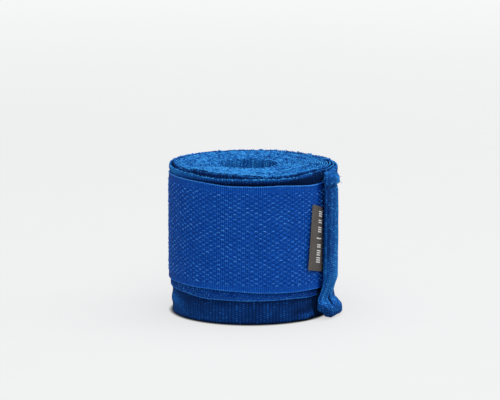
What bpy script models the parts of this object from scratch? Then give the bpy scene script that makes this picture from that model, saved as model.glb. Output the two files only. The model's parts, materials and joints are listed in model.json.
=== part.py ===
"""Rolled boxing hand wrap.

A 50 mm wide stretch-cotton band, 3.5 m long, is wound on itself and stands on one selvage, with
the roll's axis along +Z. Seen from above the band winds outwards clockwise. Its last, looser turn
comes round the +X side and ends in a folded, gathered hem. A hook tape is sewn under that hem and
lies clockwise round the front (-Y) and the left side, on a loop tape sewn to the band's outer
face. A size label is caught in the hem's seam. The thumb loop lies in the open core.

Lengths below are in millimetres and angles in degrees, counter-clockwise from +X about the
roll's axis. A longer angle such as -215 names a place past the back of the roll.
"""

import math

import bmesh
import bpy

MM = 0.001

# The roll's axis, placed so that the whole object is centred on the origin and stands on z = 0.
AXIS_X = -1.654
AXIS_Y = -0.497

GAP = 0.3  # clearance that neighbouring pieces keep

# Wound band
BAND_THICK = 0.65
ROLL_HEIGHT = 51.2  # the inner turns stand a little proud of the 50 mm band's own width
TIGHT_RADIUS = 26.75  # outer face of the last turn where the tapes hold it
LOOSE_BULGE = 3.2  # how far the last turn stands out beside the hem
LOOSE_SPAN = 150.0  # angle over which the last turn draws in from its bulge
CORE_RADIUS = 9.5
CORE_X = -0.5
CORE_Y = -0.6

# Last turn of the band
LAST_TURN_START = -2.4
LAST_TURN_END = 322.0
LAST_TURN_BASE = 0.3
LAST_TURN_TOP = 50.7
INNER_BULGE = 2.45  # bulge of the turns under the last one
INNER_DRAW_IN = 36.0  # angle over which they are pulled tight below the hem

# Loop tape, sewn to the outer face of the last turn
LOOP_THICK = 0.4
LOOP_START = -38.0
LOOP_END = -320.0
LOOP_BASE = 9.1
LOOP_TOP = 45.1

# Hook tape, sewn under the hem and free past the first hinge
HOOK_THICK = 0.55
HOOK_RADIUS = TIGHT_RADIUS + GAP + LOOP_THICK + GAP  # its inner face
HOOK_BASE = 12.0
HOOK_TOP = 47.9
HOOK_START = -23.0
HOOK_FIRST_HINGE = -50.0
HOOK_SEGMENT = 27.5
HOOK_SEGMENTS = 6

# Size label, from the hem's seam to its free edge
LABEL_THICK = 0.3
LABEL_RADIUS = HOOK_RADIUS + HOOK_THICK + GAP
LABEL_SEAM = -32.7
LABEL_FREE_TOP = -42.6
LABEL_FREE_BASE = -47.2
LABEL_SEAM_BASE = 16.9
LABEL_SEAM_TOP = 38.5
LABEL_RISE = 1.3  # the free edge sits this much higher than the sewn one

# Folded hem: height, left angle, right angle, inner radius, outer radius, furthest x
HEM_SECTIONS = (
    (0.2, -37.5, -12.0, 28.7, 31.2, 30.4),
    (1.2, -38.8, -11.0, 28.5, 32.2, 31.2),
    (3.6, -38.6, -9.0, 28.5, 32.7, 31.6),
    (5.8, -36.0, -7.0, 28.7, 31.6, 30.6),
    (8.4, -33.4, -6.0, 28.75, 29.9, 29.4),
    (11.0, -32.4, -4.5, 28.75, 30.6, 29.8),
    (14.0, -31.6, -3.5, 28.75, 31.1, 30.15),
    (29.0, -31.4, -3.5, 28.75, 31.1, 30.2),
    (43.4, -31.4, -3.5, 28.75, 31.0, 30.15),
    (45.1, -30.8, -4.5, 28.75, 30.4, 29.8),
    (46.3, -31.4, -3.5, 28.7, 31.5, 30.7),
    (48.7, -31.4, -3.5, 28.7, 31.5, 30.7),
    (50.0, -30.4, -4.5, 28.9, 30.7, 30.1),
)
HEM_SQUARENESS = 5.0
HEM_POINTS = 28

# Threads
THREAD = 0.36  # diameter
HEM_SEAM_ANGLE = -29.3
HEM_SEAM_RADIUS = 31.42
HEM_SEAM_BASE = 13.5
HEM_SEAM_TOP = 43.5
STITCH = 1.5
LOOP_SEAM_HEIGHT = LOOP_BASE + 1.2

# Thumb loop: a doubled narrow tape that lies on the core's wall
THUMB_THICK = 0.7
THUMB_RADIUS = 8.5  # its inner face, about the core's centre
THUMB_START = 62.0
THUMB_SPAN = 115.0
THUMB_BASE = 18.0
THUMB_TOP = 32.0
TACK_HEIGHT = 10.0

BLUE = (0.010, 0.060, 0.270)
TAPE_BLUE = (0.008, 0.070, 0.340)
PILE_BLUE = (0.020, 0.090, 0.380)
LABEL_GREY = (0.070, 0.060, 0.054)
THREAD_BLUE = (0.015, 0.080, 0.330)


def clear_scene():
    for obj in list(bpy.data.objects):
        bpy.data.objects.remove(obj, do_unlink=True)


def collection_named(name):
    made = bpy.data.collections.new(name)
    bpy.context.scene.collection.children.link(made)
    return made


def fabric(name, colour, roughness):
    material = bpy.data.materials.new(name)
    material.use_nodes = True
    shader = material.node_tree.nodes["Principled BSDF"]
    shader.inputs["Base Color"].default_value = (*colour, 1.0)
    shader.inputs["Roughness"].default_value = roughness
    shader.inputs["Metallic"].default_value = 0.0
    material.diffuse_color = (*colour, 1.0)
    return material


def eased(share):
    """0 before 0, 1 after 1, and a smooth rise between."""
    share = min(max(share, 0.0), 1.0)
    return share * share * (3.0 - 2.0 * share)


def around(degrees, radius, height):
    """A point on the roll, in metres from the roll's axis."""
    turn = math.radians(degrees)
    return (radius * math.cos(turn) * MM, radius * math.sin(turn) * MM, height * MM)


def last_turn_radius(degrees):
    """Outer face of the band's last turn."""
    back = degrees % 360.0
    if back > 350.0:
        back -= 360.0
    return TIGHT_RADIUS + LOOSE_BULGE * (1.0 - eased(back / LOOSE_SPAN))


def inner_turns_radius(degrees):
    """Outline of the turns below the last one: bulged at +X, tight at the front."""
    side = (degrees + 180.0) % 360.0 - 180.0
    if side >= 0.0:
        bulge = 1.0 - eased(side / LOOSE_SPAN)
    else:
        bulge = 1.0 - eased(-side / INNER_DRAW_IN)
    return TIGHT_RADIUS - BAND_THICK - GAP + INNER_BULGE * bulge


def add_object(name, data, material, parent, collection):
    obj = bpy.data.objects.new(name, data)
    obj.data.materials.append(material)
    collection.objects.link(obj)
    obj.parent = parent
    obj.matrix_parent_inverse = parent.matrix_world.inverted() @ roll.matrix_world
    return obj


def prism(name, outlines, base, top, material, parent, collection):
    """A flat outline, with any holes in it, extruded from base to top."""
    curve = bpy.data.curves.new(name, "CURVE")
    curve.dimensions = "2D"
    curve.fill_mode = "BOTH"
    curve.extrude = (top - base) / 2 * MM
    for outline in outlines:
        spline = curve.splines.new("POLY")
        spline.points.add(len(outline) - 1)
        for point, (x, y, _) in zip(spline.points, outline):
            point.co = (x, y, 0.0, 1.0)
        spline.use_cyclic_u = True
    obj = add_object(name, curve, material, parent, collection)
    obj.location.z = (base + top) / 2 * MM
    return obj


def bent_sheet(name, across, up, place, thick, material, parent, collection):
    """A grid of cells laid by place(u, v), with u and v from 0 to 1, and thickened outwards."""
    mesh = bpy.data.meshes.new(name)
    grid = bmesh.new()
    bmesh.ops.create_grid(grid, x_segments=across, y_segments=up, size=0.5)
    for vert in grid.verts:
        vert.co = place(vert.co.x + 0.5, vert.co.y + 0.5)
    bmesh.ops.recalc_face_normals(grid, faces=grid.faces)
    face = min(grid.faces, key=lambda item: item.index)
    if face.normal.x * face.calc_center_median().x + face.normal.y * face.calc_center_median().y < 0:
        bmesh.ops.reverse_faces(grid, faces=grid.faces)
    grid.to_mesh(mesh)
    grid.free()
    mesh.shade_smooth()
    mesh.set_sharp_from_angle(angle=math.radians(40))
    obj = add_object(name, mesh, material, parent, collection)
    shell = obj.modifiers.new("Thickness", "SOLIDIFY")
    shell.thickness = thick * MM
    shell.offset = 1.0
    shell.use_even_offset = True
    return obj


def arc_tape(name, start, end, base, top, radius, thick, steps, material, parent, collection):
    """A tape that follows radius(angle), its inner face, from start to end."""

    def place(u, v):
        degrees = start + (end - start) * u
        return around(degrees, radius(degrees), base + (top - base) * v)

    return bent_sheet(name, steps, 4, place, thick, material, parent, collection)


def thread(name, points, material, parent, collection):
    curve = bpy.data.curves.new(name, "CURVE")
    curve.dimensions = "3D"
    curve.bevel_depth = THREAD / 2 * MM
    curve.bevel_resolution = 1
    curve.use_fill_caps = True
    spline = curve.splines.new("POLY")
    spline.points.add(len(points) - 1)
    for point, at in zip(spline.points, points):
        point.co = (*at, 1.0)
    return add_object(name, curve, material, parent, collection)


def rounded(value, power):
    return math.copysign(abs(value) ** (2.0 / power), value)


def hem_section(height, left, right, inner, outer, furthest):
    """One level of the hem: a rounded box in angle and radius, flattened on its +X side."""
    ring = []
    for i in range(HEM_POINTS):
        turn = 2 * math.pi * i / HEM_POINTS
        degrees = (left + right) / 2 + (right - left) / 2 * rounded(math.cos(turn), HEM_SQUARENESS)
        radius = (inner + outer) / 2 + (outer - inner) / 2 * rounded(math.sin(turn), HEM_SQUARENESS)
        x, y, z = around(degrees, radius, height)
        ring.append((min(x, furthest * MM), y, z))
    return ring


def loft(name, rings, material, parent, collection):
    """A closed solid through unlike rings of the same count of points."""
    mesh = bpy.data.meshes.new(name)
    body = bmesh.new()
    levels = [[body.verts.new(point) for point in ring] for ring in rings]
    for low, high in zip(levels, levels[1:]):
        for i in range(len(low)):
            j = (i + 1) % len(low)
            body.faces.new((low[i], low[j], high[j], high[i]))
    body.faces.new(reversed(levels[0]))
    body.faces.new(levels[-1])
    bmesh.ops.recalc_face_normals(body, faces=body.faces)
    body.to_mesh(mesh)
    body.free()
    mesh.shade_smooth()
    mesh.set_sharp_from_angle(angle=math.radians(50))
    return add_object(name, mesh, material, parent, collection)


def hinge_point(name, degrees, radius, parent, centre=(0.0, 0.0)):
    """An empty on a vertical hinge axis."""
    empty = bpy.data.objects.new(name, None)
    wrap.objects.link(empty)
    x, y, _ = around(degrees, radius, 0.0)
    at = (x + (centre[0] + AXIS_X) * MM, y + (centre[1] + AXIS_Y) * MM, 0.0)
    empty.parent = parent
    empty.matrix_parent_inverse = parent.matrix_world.inverted()
    empty.location = at
    bpy.context.view_layer.update()
    return empty


def wound_band():
    outline = [around(a, inner_turns_radius(a), 0.0) for a in range(-180, 180, 5)]
    core = []
    for a in range(0, 360, 10):
        x, y, _ = around(a, CORE_RADIUS, 0.0)
        core.append((x + CORE_X * MM, y + CORE_Y * MM, 0.0))
    prism("wound_band", (outline, core), 0.0, ROLL_HEIGHT, band_blue, roll, wrap)


def last_turn():
    steps = 66
    span = LAST_TURN_END - LAST_TURN_START
    angles = [LAST_TURN_START + span * i / steps for i in range(steps + 1)]
    outer = [around(a, last_turn_radius(a), 0.0) for a in angles]
    inner = [around(a, last_turn_radius(a) - BAND_THICK, 0.0) for a in reversed(angles)]
    prism("band_last_turn", (outer + inner,), LAST_TURN_BASE, LAST_TURN_TOP, band_blue, roll, wrap)


def tapes():
    arc_tape(
        "loop_tape", LOOP_START, LOOP_END, LOOP_BASE, LOOP_TOP,
        lambda a: last_turn_radius(a) + GAP, LOOP_THICK, 60, loop_blue, roll, wrap,
    )
    arc_tape(
        "hook_tape_sewn_end", HOOK_START, HOOK_FIRST_HINGE, HOOK_BASE, HOOK_TOP,
        lambda a: HOOK_RADIUS, HOOK_THICK, 6, hook_blue, roll, wrap,
    )
    half_gap = math.degrees(GAP / 2 / HOOK_RADIUS)
    parent = roll
    for i in range(HOOK_SEGMENTS):
        start = HOOK_FIRST_HINGE - HOOK_SEGMENT * i
        end = start - HOOK_SEGMENT
        parent = hinge_point(f"tab_hinge_{i + 1}", start - half_gap, HOOK_RADIUS + HOOK_THICK, parent)
        arc_tape(
            f"hook_tape_{i + 1}", start - 2 * half_gap, end, HOOK_BASE, HOOK_TOP,
            lambda a: HOOK_RADIUS, HOOK_THICK, 6, hook_blue, parent, wrap,
        )


def size_label():
    hinge = hinge_point("label_hinge", LABEL_SEAM, LABEL_RADIUS + LABEL_THICK / 2, roll)

    def place(u, v):
        free = LABEL_FREE_BASE + (LABEL_FREE_TOP - LABEL_FREE_BASE) * v
        height = LABEL_SEAM_BASE + (LABEL_SEAM_TOP - LABEL_SEAM_BASE) * v + LABEL_RISE * u
        return around(LABEL_SEAM + (free - LABEL_SEAM) * u, LABEL_RADIUS, height)

    bent_sheet("size_label", 5, 4, place, LABEL_THICK, label_grey, hinge, wrap)


def hem():
    rings = [hem_section(*section) for section in HEM_SECTIONS]
    loft("end_hem", rings, band_blue, roll, wrap)


def seams():
    stitches = round((HEM_SEAM_TOP - HEM_SEAM_BASE) / STITCH * 2)
    points = []
    for i in range(stitches + 1):
        height = HEM_SEAM_BASE + (HEM_SEAM_TOP - HEM_SEAM_BASE) * i / stitches
        points.append(around(HEM_SEAM_ANGLE, HEM_SEAM_RADIUS + 0.1 * (i % 2), height))
    thread("hem_seam", points, thread_blue, roll, wrap)

    points = []
    start, end = LOOP_START - 3.0, LOOP_END + 3.0
    steps = 68
    for i in range(steps + 1):
        degrees = start + (end - start) * i / steps
        radius = last_turn_radius(degrees) + GAP + LOOP_THICK + GAP + THREAD / 2
        points.append(around(degrees, radius, LOOP_SEAM_HEIGHT))
    thread("loop_tape_seam", points, thread_blue, roll, wrap)


def in_core(degrees, radius, height):
    x, y, z = around(degrees, radius, height)
    return (x + CORE_X * MM, y + CORE_Y * MM, z)


def thumb_loop():
    middle = THUMB_RADIUS + THUMB_THICK / 2
    hinge = hinge_point("thumb_loop_hinge", THUMB_START, middle, roll, (CORE_X, CORE_Y))

    def place(u, v):
        height = THUMB_BASE + (THUMB_TOP - THUMB_BASE) * v
        return in_core(THUMB_START + THUMB_SPAN * u, THUMB_RADIUS, height)

    bent_sheet("thumb_loop", 16, 4, place, THUMB_THICK, band_blue, hinge, wrap)

    points = []
    middle_height = (THUMB_BASE + THUMB_TOP) / 2
    for i in range(11):
        height = middle_height + TACK_HEIGHT * (i / 10 - 0.5)
        points.append(in_core(THUMB_START - 4.5 - 1.5 * (i % 2), THUMB_RADIUS + 0.3, height))
    thread("thumb_loop_tack", points, thread_blue, roll, wrap)


clear_scene()
wrap = collection_named("hand_wrap")
roll = bpy.data.objects.new("roll_axis", None)
wrap.objects.link(roll)
roll.location = (AXIS_X * MM, AXIS_Y * MM, 0.0)
bpy.context.view_layer.update()

band_blue = fabric("band_cotton", BLUE, 0.85)
hook_blue = fabric("hook_tape_nylon", TAPE_BLUE, 0.6)
loop_blue = fabric("loop_tape_pile", PILE_BLUE, 0.9)
label_grey = fabric("label_satin", LABEL_GREY, 0.5)
thread_blue = fabric("sewing_thread", THREAD_BLUE, 0.55)

wound_band()
last_turn()
tapes()
hem()
size_label()
seams()
thumb_loop()
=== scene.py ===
"""A rolled boxing hand wrap in royal blue, standing on one selvage on a pale studio floor.

The band is one long spiral of ribbed stretch cotton. Its last turn ends in a folded, gathered hem,
which holds the sewn end of a hook tape and a size label. The hook tape lies over a loop tape on
the last turn and peels away from it. A thumb loop lies in the open core.

Lengths are in millimetres and angles in degrees, counter-clockwise from +X about the roll's axis.
"""

import json
import math

import bpy
import numpy as np
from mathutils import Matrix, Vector


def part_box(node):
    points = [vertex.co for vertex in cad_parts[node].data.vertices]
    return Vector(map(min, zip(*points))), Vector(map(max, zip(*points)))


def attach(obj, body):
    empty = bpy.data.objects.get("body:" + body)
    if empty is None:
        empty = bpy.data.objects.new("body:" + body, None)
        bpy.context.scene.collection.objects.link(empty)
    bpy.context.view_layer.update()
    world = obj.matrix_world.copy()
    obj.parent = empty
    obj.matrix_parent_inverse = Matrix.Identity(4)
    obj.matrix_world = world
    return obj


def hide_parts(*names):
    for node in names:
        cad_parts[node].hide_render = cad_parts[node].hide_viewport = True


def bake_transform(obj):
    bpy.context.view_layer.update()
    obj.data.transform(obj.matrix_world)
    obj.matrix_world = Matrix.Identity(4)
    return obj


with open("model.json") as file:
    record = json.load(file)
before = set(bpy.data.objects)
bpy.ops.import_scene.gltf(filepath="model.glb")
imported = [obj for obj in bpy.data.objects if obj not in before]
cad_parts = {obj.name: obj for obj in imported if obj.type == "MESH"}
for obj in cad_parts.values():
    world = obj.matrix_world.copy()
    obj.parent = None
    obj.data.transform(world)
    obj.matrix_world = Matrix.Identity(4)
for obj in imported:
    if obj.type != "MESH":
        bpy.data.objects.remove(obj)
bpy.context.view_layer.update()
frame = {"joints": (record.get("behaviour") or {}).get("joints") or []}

MM = 0.001

# ---------------------------------------------------------------- sizes taken from the frame

hinges = {joint["child"]: joint["pos_m"] for joint in frame["joints"]}


def circle_centre(a, b, c):
    """The centre of the circle through three points of the XY plane."""
    (ax, ay), (bx, by), (cx, cy) = a[:2], b[:2], c[:2]
    d = 2 * (ax * (by - cy) + bx * (cy - ay) + cx * (ay - by))
    a2, b2, c2 = ax * ax + ay * ay, bx * bx + by * by, cx * cx + cy * cy
    x = (a2 * (by - cy) + b2 * (cy - ay) + c2 * (ay - by)) / d
    y = (a2 * (cx - bx) + b2 * (ax - cx) + c2 * (bx - ax)) / d
    return x, y


AXIS_X, AXIS_Y = (v / MM for v in circle_centre(hinges["tab_1"], hinges["tab_3"], hinges["tab_6"]))
HOOK_OUTER = math.hypot(hinges["tab_3"][0] / MM - AXIS_X, hinges["tab_3"][1] / MM - AXIS_Y)


def heights(node):
    """The foot and top of a part, in millimetres."""
    low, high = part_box(node)
    return low.z / MM, high.z / MM


HINGE_LABEL = math.degrees(math.atan2(hinges["label"][1] / MM - AXIS_Y, hinges["label"][0] / MM - AXIS_X))
HOOK_BASE, HOOK_TOP = heights("hook_tape_3")
LOOP_BASE, LOOP_TOP = heights("loop_tape")
BAND_BASE, BAND_TOP = heights("band_last_turn")
ROLL_TOP = heights("wound_band")[1]
LABEL_BASE, LABEL_TOP = heights("size_label")
THUMB_BASE, THUMB_TOP = heights("thumb_loop")

# ---------------------------------------------------------------- the object's own dimensions

TIGHT = HOOK_OUTER - 1.55  # outer face of the last turn where the tapes hold it
PITCH = 0.575  # from one turn to the next
THICK = 0.53  # the band
BULGE = 2.6  # slack of the last turn beside the hem
TURNS = 29
INNERMOST = 360.0 * TURNS + 95.0  # the spiral's inner end
CORE = (-0.5, -0.6)  # the core's centre, off the roll's axis
HEM_LEFT = -38.0  # the spiral is counted from here
LAST_START, LAST_END = 19.0, 360.0  # the last turn, from inside the hem round to under it
SLACK_END = 188.0  # from here on the last turn lies tight
RIM_START = 36.5  # where its rim comes out of the hem
RIB = 1.16  # pitch of the band's ribs
STITCH = 0.72  # pitch of the knitted stitches along a rib

HOOK_IN = HOOK_OUTER - 0.62
HOOK_START, HOOK_END = -23.0, -215.0  # inside the hem, and the free end
HOOK_FIRST, HOOK_STEP = -50.0, 27.5  # its first hinge, and from each to the next
FLOAT_U, FLOAT_Z = 1.46, 1.574  # pitch of the raised floats along and across the hook tape
WARP, WEFT = FLOAT_U / 2, 0.42  # pitch of the tape's own threads
SELVAGE = 2.5  # the hook tape's plain edge, without floats

LOOP_START, LOOP_END = -33.0, -320.0  # under the hem, and the free end
PILE_START = -119.0  # the loop tape's pile is worn down before this
LABEL_SEAM = -30.2  # where it comes out of the hem
LABEL_WIDE, LABEL_TALL = 6.5, 21.6  # outside its seam
TAPE = 0.33  # thickness of the hook and loop tapes' base cloth
THUMB_TACKED, THUMB_SPAN = 62.0, 115.0  # where the thumb loop starts, and its reach round the core
THUMB_RADIUS = 8.85  # the middle of its fold, from the core's centre

# Colour ramps over the tone, from dark to light. The tone holds the cloth's own shades and, in many places,
# painted light and shade.
COTTON = (
    (0.00, (0.0006, 0.009, 0.055)),
    (0.25, (0.0025, 0.031, 0.160)),
    (0.50, (0.0060, 0.078, 0.340)),
    (0.75, (0.0140, 0.164, 0.505)),
    (1.00, (0.0500, 0.315, 0.735)),
)
NYLON = (
    (0.00, (0.0006, 0.016, 0.140)),
    (0.30, (0.0017, 0.043, 0.295)),
    (0.50, (0.0046, 0.084, 0.450)),
    (0.75, (0.0210, 0.170, 0.630)),
    (1.00, (0.0950, 0.360, 0.880)),
)
PILE = (
    (0.00, (0.0006, 0.012, 0.100)),
    (0.30, (0.0022, 0.034, 0.230)),
    (0.50, (0.0060, 0.072, 0.370)),
    (0.75, (0.0200, 0.150, 0.520)),
    (1.00, (0.0650, 0.290, 0.740)),
)


# ---------------------------------------------------------------- small helpers


def eased(x):
    """A smooth step: 0 below 0 and 1 above 1."""
    x = np.clip(x, 0.0, 1.0)
    return x * x * (3.0 - 2.0 * x)


def hill(x, middle, spread):
    """1 at the middle, falling smoothly to 0 on both sides."""
    return np.exp(-(((x - middle) / spread) ** 2))


def window(x, start, rise, end, fall):
    """0 before start, 1 as far as end and 0 beyond it, with an eased rise and fall."""
    return eased((x - start) / rise) * (1.0 - eased((x - end) / fall))


def wander(x, pitch, seed):
    """Smooth noise along x, from -1 to 1, with a knot every pitch."""
    x = np.asarray(x, float) / pitch
    low = math.floor(x.min())
    knots = np.random.default_rng(seed).uniform(-1, 1, int(x.max() - low) + 4)
    i = np.floor(x - low).astype(int)
    f = eased(x - low - i)
    return knots[i] * (1 - f) + knots[i + 1] * f


def patches(x, y, pitch_x, pitch_y, seed):
    """Smooth noise over a surface, from -1 to 1."""
    x, y = np.broadcast_arrays(np.asarray(x, float) / pitch_x, np.asarray(y, float) / pitch_y)
    x, y = x - x.min(), y - y.min()
    knots = np.random.default_rng(seed).uniform(-1, 1, (int(x.max()) + 3, int(y.max()) + 3))
    i, j = x.astype(int), y.astype(int)
    f, g = eased(x - i), eased(y - j)
    low = knots[i, j] * (1 - f) + knots[i + 1, j] * f
    high = knots[i, j + 1] * (1 - f) + knots[i + 1, j + 1] * f
    return low * (1 - g) + high * g


def place(degrees, radius, height, centre=(0.0, 0.0)):
    """Points on the roll, in millimetres of the shared frame."""
    turn = np.radians(degrees)
    x = radius * np.cos(turn) + AXIS_X + centre[0]
    y = radius * np.sin(turn) + AXIS_Y + centre[1]
    return np.stack(np.broadcast_arrays(x, y, height), axis=-1)


def point(degrees, radius, height=30.0):
    """A point on the roll, in metres."""
    return tuple(place(degrees, radius, height) * MM)


def linked(name, data):
    """A new object in the scene."""
    obj = bpy.data.objects.new(name, data)
    bpy.context.scene.collection.objects.link(obj)
    return obj


def mesh_piece(name, points, groups, material, cloth, tone, sharp=0):
    """A closed mesh of millimetre points and groups of faces, turned to face outwards.

    cloth is where each point lies on the cloth and tone its shade, or one shade for them all.
    Edges sharper than sharp degrees stay crisp, where it is given.
    """
    points = np.asarray(points, float).reshape(-1, 3)
    volume = 0.0
    for faces in groups:
        for k in range(1, faces.shape[1] - 1):
            a, b, c = points[faces[:, 0]], points[faces[:, k]], points[faces[:, k + 1]]
            volume += np.einsum("ij,ij->i", a, np.cross(b, c)).sum()
    if volume < 0:
        groups = [faces[:, ::-1] for faces in groups]
    mesh = bpy.data.meshes.new(name)
    mesh.vertices.add(len(points))
    mesh.vertices.foreach_set("co", (points * MM).ravel())
    corners = np.concatenate([faces.ravel() for faces in groups])
    counts = np.concatenate([np.full(len(faces), faces.shape[1]) for faces in groups])
    mesh.loops.add(len(corners))
    mesh.loops.foreach_set("vertex_index", corners.astype(np.int32))
    mesh.polygons.add(len(counts))
    mesh.polygons.foreach_set("loop_start", np.concatenate([[0], np.cumsum(counts)[:-1]]).astype(np.int32))
    mesh.update(calc_edges=True)
    mesh.validate()
    mesh.shade_smooth()
    if sharp:
        mesh.set_sharp_from_angle(angle=math.radians(sharp))
    where = mesh.attributes.new("cloth", "FLOAT_VECTOR", "POINT")
    where.data.foreach_set("vector", np.asarray(cloth, np.float32).ravel())
    shade = mesh.attributes.new("tone", "FLOAT", "POINT")
    shade.data.foreach_set("value", np.resize(np.asarray(tone, np.float32), len(points)))
    mesh.materials.append(material)
    return linked(name, mesh)


def joined(*pieces):
    """The points and face groups of several pieces as one."""
    points, groups, base = [], [], 0
    for rings, faces in pieces:
        points.append(rings.reshape(-1, 3))
        groups += [group + base for group in faces]
        base += len(points[-1])
    return np.concatenate(points), groups


def strip_faces(steps, ring):
    """Quads between neighbouring closed rings of points."""
    i = np.arange(steps - 1)[:, None]
    j = np.arange(ring)[None, :]
    k = (j + 1) % ring
    quads = np.stack([i * ring + j, (i + 1) * ring + j, (i + 1) * ring + k, i * ring + k], axis=-1)
    return quads.reshape(-1, 4)


def ladder_caps(steps, ring):
    """End caps of a flat section whose second half runs back under the first."""
    half = ring // 2
    j = np.arange(half - 1)
    start = np.stack([j, j + 1, ring - 2 - j, ring - 1 - j], axis=-1)
    return np.concatenate([start, start[:, ::-1] + (steps - 1) * ring])


def there_and_back(outer, inner):
    """Across a tape's outer face and back across its inner face, at each step along it."""
    return np.concatenate([outer, inner[:, ::-1]], axis=1)


def ribbon(outer, inner):
    """A tape's rings of points, from those of its two faces, and the faces that close it."""
    rings = there_and_back(outer, inner)
    steps, ring = rings.shape[:2]
    return rings, [strip_faces(steps, ring), ladder_caps(steps, ring)]


def on_cloth(run, z, layer=0.0):
    """The cloth's own coordinates: along it, up it, and its layer."""
    return np.stack(np.broadcast_arrays(run, z, layer), axis=-1)


def tubes(paths, radius, sides):
    """Thin round threads along paths of shape (count, steps, 3), of one radius or one at each step."""
    count, steps, _ = paths.shape
    along = np.gradient(paths, axis=1)
    along /= np.linalg.norm(along, axis=2, keepdims=True) + 1e-12
    up = np.zeros_like(along)
    up[..., 2] = 1.0
    steep = np.abs(along[..., 2]) > 0.9
    up[steep] = (1.0, 0.0, 0.0)
    side = np.cross(along, up)
    side /= np.linalg.norm(side, axis=2, keepdims=True) + 1e-12
    over = np.cross(side, along)
    radius = np.broadcast_to(radius, (count, steps))[..., None, None]
    turn = 2 * np.pi * np.arange(sides)[:, None] / sides
    ring = side[:, :, None] * np.cos(turn) + over[:, :, None] * np.sin(turn)
    points = paths[:, :, None] + ring * radius
    one = strip_faces(steps, sides)
    each = np.arange(count)[:, None, None] * steps * sides
    quads = (one[None] + each).reshape(-1, 4)
    last = (steps - 1) * sides
    low = (np.arange(sides)[None] + each[:, :, 0]).reshape(-1, sides)
    high = (np.arange(sides)[::-1][None] + last + each[:, :, 0]).reshape(-1, sides)
    return points.reshape(-1, 3), [quads, low, high]


def lumps(centres, along, across, up, sides=6, levels=(-0.55, 0.15, 0.75)):
    """Many small rounded lumps, each given by its centre and three half axes."""
    levels = np.asarray(levels)
    turn = 2 * np.pi * np.arange(sides) / sides
    width = np.sqrt(1 - levels**2)
    a, b = ((width[:, None] * axis(turn)).reshape(-1, 1) for axis in (np.cos, np.sin))
    c = np.repeat(levels, sides)[:, None]
    body = centres[:, None] + a * along[:, None] + b * across[:, None] + c * up[:, None]
    points = np.concatenate([body, (centres - up)[:, None], (centres + up)[:, None]], axis=1)
    per = points.shape[1]
    each = np.arange(len(centres))[:, None, None] * per
    j = np.arange(sides)
    k = (j + 1) % sides
    top = (len(levels) - 1) * sides
    foot = np.stack([j, k, np.full(sides, per - 2)], axis=-1)
    head = np.stack([top + k, top + j, np.full(sides, per - 1)], axis=-1)
    quads = (strip_faces(len(levels), sides)[None] + each).reshape(-1, 4)
    fans = (np.concatenate([foot, head])[None] + each).reshape(-1, 3)
    return points.reshape(-1, 3), [quads, fans], per


def on_roll(degrees):
    """Unit vectors along the arc, outwards and up, at each angle."""
    turn = np.radians(degrees)
    zero = np.zeros_like(turn)
    along = np.stack([-np.sin(turn), np.cos(turn), zero], axis=-1)
    outwards = np.stack([np.cos(turn), np.sin(turn), zero], axis=-1)
    return along, outwards, np.array([0.0, 0.0, 1.0])


# ---------------------------------------------------------------- materials


class Nodes:
    """Shorthand for building a material's nodes."""

    def __init__(self, name):
        self.material = bpy.data.materials.new(name)
        self.material.use_nodes = True
        self.tree = self.material.node_tree
        self.shader = self.tree.nodes["Principled BSDF"]

    def add(self, kind, **settings):
        node = self.tree.nodes.new(kind)
        for key, value in settings.items():
            setattr(node, key, value)
        return node

    def link(self, source, target):
        self.tree.links.new(source, target)

    def math(self, operation, *values):
        """The result for values that are numbers or other nodes' outputs."""
        node = self.add("ShaderNodeMath", operation=operation)
        for socket, value in zip(node.inputs, values):
            if isinstance(value, bpy.types.NodeSocket):
                self.link(value, socket)
            else:
                socket.default_value = value
        return node.outputs[0]

    def total(self, start, *terms):
        """start, plus each value times its gain."""
        for value, gain in terms:
            start = self.math("MULTIPLY_ADD", value, gain, start)
        return start

    def span(self, value, low, high, at_low, at_high):
        """Eased from one number to another as the value goes from low to high."""
        node = self.add("ShaderNodeMapRange", interpolation_type="SMOOTHSTEP")
        self.link(value, node.inputs["Value"])
        for socket, number in zip(node.inputs[1:5], (low, high, at_low, at_high)):
            socket.default_value = number
        return node.outputs[0]

    def noise(self, vector, scale, detail, roughness):
        """Noise from 0 to 1. A pair of scales stretches it: along the cloth and up it."""
        if isinstance(scale, tuple):
            mapping = self.add("ShaderNodeMapping")
            self.link(vector, mapping.inputs["Vector"])
            mapping.inputs["Scale"].default_value = (*scale, 1.0)
            vector, scale = mapping.outputs[0], 1.0
        node = self.add("ShaderNodeTexNoise")
        self.link(vector, node.inputs["Vector"])
        for socket, value in (("Scale", scale), ("Detail", detail), ("Roughness", roughness)):
            node.inputs[socket].default_value = value
        return node.outputs["Fac"]

    def shade_to_base_colour(self, shade, stops):
        """The base colour, from a ramp over the shade, which in many materials also carries painted light and
        shade.
        """
        node = self.add("ShaderNodeValToRGB")
        while len(node.color_ramp.elements) < len(stops):
            node.color_ramp.elements.new(0.5)
        for element, (at, colour) in zip(node.color_ramp.elements, stops):
            element.position = at
            element.color = (*colour, 1.0)
        self.link(shade, node.inputs[0])
        self.link(node.outputs[0], self.shader.inputs["Base Color"])

    def finish(self, height, depth, strength, roughness):
        """Fine relief in metres, and the roughness."""
        node = self.add("ShaderNodeBump")
        node.inputs["Strength"].default_value = strength
        node.inputs["Distance"].default_value = depth
        self.link(height, node.inputs["Height"])
        self.link(node.outputs[0], self.shader.inputs["Normal"])
        self.link(roughness, self.shader.inputs["Roughness"])


def wave(n, value, pitch):
    """0 to 1 and back, once in each pitch."""
    turned = n.math("MULTIPLY", value, 2 * math.pi / pitch)
    return n.total(0.5, (n.math("SINE", turned), 0.5))


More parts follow.
